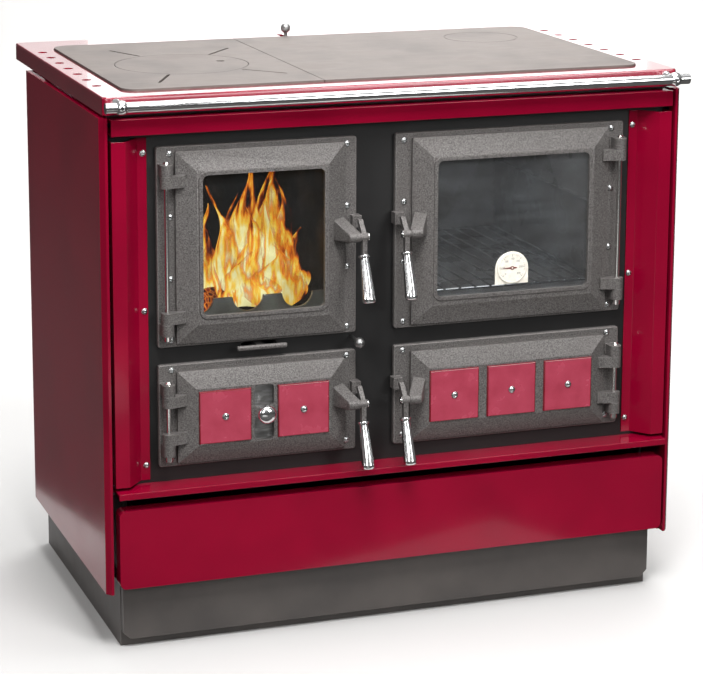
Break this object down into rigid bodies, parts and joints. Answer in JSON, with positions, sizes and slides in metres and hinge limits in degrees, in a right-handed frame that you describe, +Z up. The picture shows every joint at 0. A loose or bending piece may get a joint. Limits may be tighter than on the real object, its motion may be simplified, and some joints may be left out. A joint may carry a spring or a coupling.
{
  "type": "wood cookstove",
  "caption": "Free-standing enamelled wood cookstove with glazed fire and oven doors, ash and lower doors with tiles, wood drawer, cast cooktop with lid and towel rail.",
  "frame": {"origin": "centre of the stove's plan on the floor, at the underside of the plinth's cross brace", "axes": "+X to the right as seen from the front, +Y to the back, +Z up"},
  "size_m": [0.911, 0.6648, 0.852],
  "materials": {
    "crimson_enamel": "glossy vitreous enamel",
    "tile_enamel": "glossy glaze",
    "cast_grey": "fine-grained stove paint",
    "cast_plate": "ground and lightly oiled",
    "black_steel": "satin black",
    "brown_steel": "satin dark grey",
    "bare_steel": "plain",
    "chrome": "polished",
    "stove_glass": "clear glass ceramic",
    "rope": "braided glass fibre",
    "firebrick": "matte",
    "oven_enamel": "speckled enamel",
    "dial": "satin"
  },
  "bodies": {
    "stove": {"plinth_frame": "brown_steel", "plinth_panel": "brown_steel", "carcass": "black_steel", "front_plate": "black_steel", "side_panel_right": "crimson_enamel", "side_panel_left": "crimson_enamel", "pilaster_right": "crimson_enamel", "pilaster_left": "crimson_enamel", "header_fascia": "crimson_enamel", "sill_strip": "crimson_enamel", "top_frame": "crimson_enamel", "cooktop_left": "cast_plate", "cooktop_right": "cast_plate", "rail": "chrome", "rail_bracket_right": "chrome", "rail_bracket_left": "chrome", "fire_door_frame": "cast_grey", "oven_door_frame": "cast_grey", "ash_door_frame": "cast_grey", "lower_door_frame": "cast_grey", "firebrick_left": "firebrick", "firebrick_right": "firebrick", "firebrick_back": "firebrick", "grate_bed": "cast_grey", "log_guard": "cast_grey", "oven_box": "oven_enamel", "oven_rack": "chrome", "flue_box": "black_steel", "ash_pan": "bare_steel"},
    "fire_door": {"fire_leaf": "cast_grey", "fire_glass": "stove_glass", "fire_seal": "rope"},
    "fire_handle": {"fire_lever": "cast_grey", "fire_grip": "chrome"},
    "oven_door": {"oven_leaf": "cast_grey", "oven_glass": "stove_glass", "oven_seal": "rope", "thermometer": "dial"},
    "oven_handle": {"oven_lever": "cast_grey", "oven_grip": "chrome"},
    "needle": {"thermometer_needle": "black_steel"},
    "ash_door": {"ash_leaf": "cast_grey", "ash_tile_1": "tile_enamel", "ash_tile_2": "tile_enamel"},
    "ash_handle": {"ash_lever": "cast_grey", "ash_grip": "chrome"},
    "air_plate": {"air_valve": "bare_steel"},
    "air_screw": {"air_knob": "chrome"},
    "lower_door": {"lower_leaf": "cast_grey", "lower_tile_1": "tile_enamel", "lower_tile_2": "tile_enamel", "lower_tile_3": "tile_enamel"},
    "lower_handle": {"lower_lever": "cast_grey", "lower_grip": "chrome"},
    "drawer": {"drawer_front": "crimson_enamel", "drawer_box": "black_steel"},
    "shaking_grate": {"grate": "cast_grey"},
    "air_pull": {"air_rod": "bare_steel"},
    "damper": {"damper_slide": "bare_steel"},
    "lid": {"cooking_lid": "cast_plate"}
  },
  "joints": [
    {"name": "fire_door_hinge", "type": "hinge", "parent": "stove", "child": "fire_door", "pos_m": [-0.3575, -0.293, 0.603], "axis": [0, 0, -1], "range_deg": [0, 110]},
    {"name": "fire_handle_pivot", "type": "hinge", "parent": "fire_door", "child": "fire_handle", "pos_m": [-0.0663, -0.321, 0.60825], "axis": [-1, 0, 0], "range_deg": [0, 60]},
    {"name": "oven_door_hinge", "type": "hinge", "parent": "stove", "child": "oven_door", "pos_m": [0.3575, -0.293, 0.603], "axis": [0, 0, 1], "range_deg": [0, 110]},
    {"name": "oven_handle_pivot", "type": "hinge", "parent": "oven_door", "child": "oven_handle", "pos_m": [0.0003, -0.321, 0.60825], "axis": [-1, 0, 0], "range_deg": [0, 60]},
    {"name": "needle_turn", "type": "hinge", "parent": "oven_door", "child": "needle", "pos_m": [0.18165, -0.296, 0.538], "axis": [0, 1, 0], "range_deg": [-40, 220]},
    {"name": "ash_door_hinge", "type": "hinge", "parent": "stove", "child": "ash_door", "pos_m": [-0.3575, -0.293, 0.3485], "axis": [0, 0, -1], "range_deg": [0, 110]},
    {"name": "ash_handle_pivot", "type": "hinge", "parent": "ash_door", "child": "ash_handle", "pos_m": [-0.0663, -0.321, 0.35425], "axis": [-1, 0, 0], "range_deg": [0, 60]},
    {"name": "air_plate_slide", "type": "slide", "parent": "ash_door", "child": "air_plate", "axis": [0, 1, 0], "range_m": [0, 0.006]},
    {"name": "air_knob_turn", "type": "hinge", "parent": "air_plate", "child": "air_screw", "pos_m": [-0.2125, -0.31, 0.34825], "axis": [0, 1, 0], "range_deg": [0, 1080]},
    {"name": "lower_door_hinge", "type": "hinge", "parent": "stove", "child": "lower_door", "pos_m": [0.3575, -0.293, 0.3485], "axis": [0, 0, 1], "range_deg": [0, 110]},
    {"name": "lower_handle_pivot", "type": "hinge", "parent": "lower_door", "child": "lower_handle", "pos_m": [0.0003, -0.321, 0.35425], "axis": [-1, 0, 0], "range_deg": [0, 60]},
    {"name": "drawer_slide", "type": "slide", "parent": "stove", "child": "drawer", "axis": [0, -1, 0], "range_m": [0, 0.35]},
    {"name": "grate_shake", "type": "slide", "parent": "stove", "child": "shaking_grate", "axis": [1, 0, 0], "range_m": [-0.02, 0.02]},
    {"name": "air_pull_slide", "type": "slide", "parent": "stove", "child": "air_pull", "axis": [0, -1, 0], "range_m": [0, 0.045]},
    {"name": "damper_travel", "type": "slide", "parent": "stove", "child": "damper", "axis": [0, 1, 0], "range_m": [0, 0.034]},
    {"name": "lid_lift", "type": "slide", "parent": "stove", "child": "lid", "axis": [0, 0, 1], "range_m": [0, 0.15]}
  ],
  "couplings": [
    {"joint": "air_plate_slide", "follows": "air_knob_turn", "m_per_rad": 0.00031831}
  ]
}
